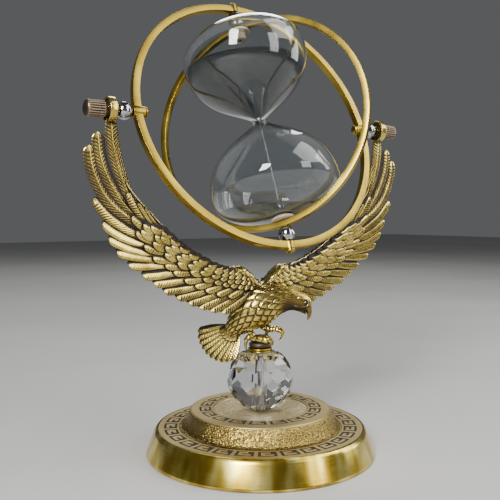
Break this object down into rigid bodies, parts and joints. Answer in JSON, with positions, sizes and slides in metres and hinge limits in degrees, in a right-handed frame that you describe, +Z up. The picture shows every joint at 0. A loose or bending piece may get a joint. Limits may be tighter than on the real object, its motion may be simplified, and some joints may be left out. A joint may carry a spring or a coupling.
{
  "type": "hourglass",
  "caption": "Desk hourglass in a turning double-ring gimbal, held between the raised wings of a cast eagle that stands on a faceted ball and a round stepped base.",
  "frame": {"origin": "centre of the underside of the base", "axes": "+Z up; +X along the wing-tip axis, from the left wing to the right one; -Y is the front, where the eagle's head leans out"},
  "size_m": [0.2578, 0.16, 0.321],
  "materials": {
    "polished_brass": "polished",
    "brushed_brass": "satin",
    "antique_brass": "antique, dark patina in the recesses",
    "dark_bronze": "dark antique",
    "chrome": "mirror",
    "steel": "zinc plated",
    "crystal": "polished facets",
    "clear_glass": "polished",
    "sand": "fine grains",
    "plug": "satin",
    "felt": "felt"
  },
  "bodies": {
    "stand": {"base_shell": "polished_brass", "felt_pad": "felt", "base_washer": "steel", "base_nut": "steel", "tie_rod": "steel", "crystal_ball": "crystal", "collar": "brushed_brass", "perch": "dark_bronze", "eagle_body": "antique_brass", "wing_left": "antique_brass", "wing_right": "antique_brass", "wing_pin_left": "steel", "wing_pin_right": "steel"},
    "outer_gimbal": {"outer_ring": "brushed_brass", "axle_screw_left": "chrome", "spacer_ball_left": "chrome", "washer_inner_left": "brushed_brass", "washer_outer_left": "brushed_brass", "thumb_nut_left": "dark_bronze", "axle_screw_right": "chrome", "spacer_ball_right": "chrome", "washer_inner_right": "brushed_brass", "washer_outer_right": "brushed_brass", "thumb_nut_right": "dark_bronze", "spacer_ball_top": "chrome", "pivot_screw_top": "brushed_brass", "spacer_ball_bottom": "chrome", "pivot_screw_bottom": "brushed_brass"},
    "inner_gimbal": {"inner_ring": "brushed_brass", "glass_bulbs": "clear_glass", "plug_top": "plug", "plug_bottom": "plug", "sand_upper": "sand", "sand_lower": "sand", "sand_stream": "sand"}
  },
  "joints": [
    {"name": "ring_tilt", "type": "hinge", "parent": "stand", "child": "outer_gimbal", "pos_m": [0, 0, 0.2311], "axis": [1, 0, 0], "continuous": true},
    {"name": "glass_turn", "type": "hinge", "parent": "outer_gimbal", "child": "inner_gimbal", "pos_m": [0, 0, 0.2311], "axis": [0, 0.3859, 0.9225], "continuous": true}
  ]
}
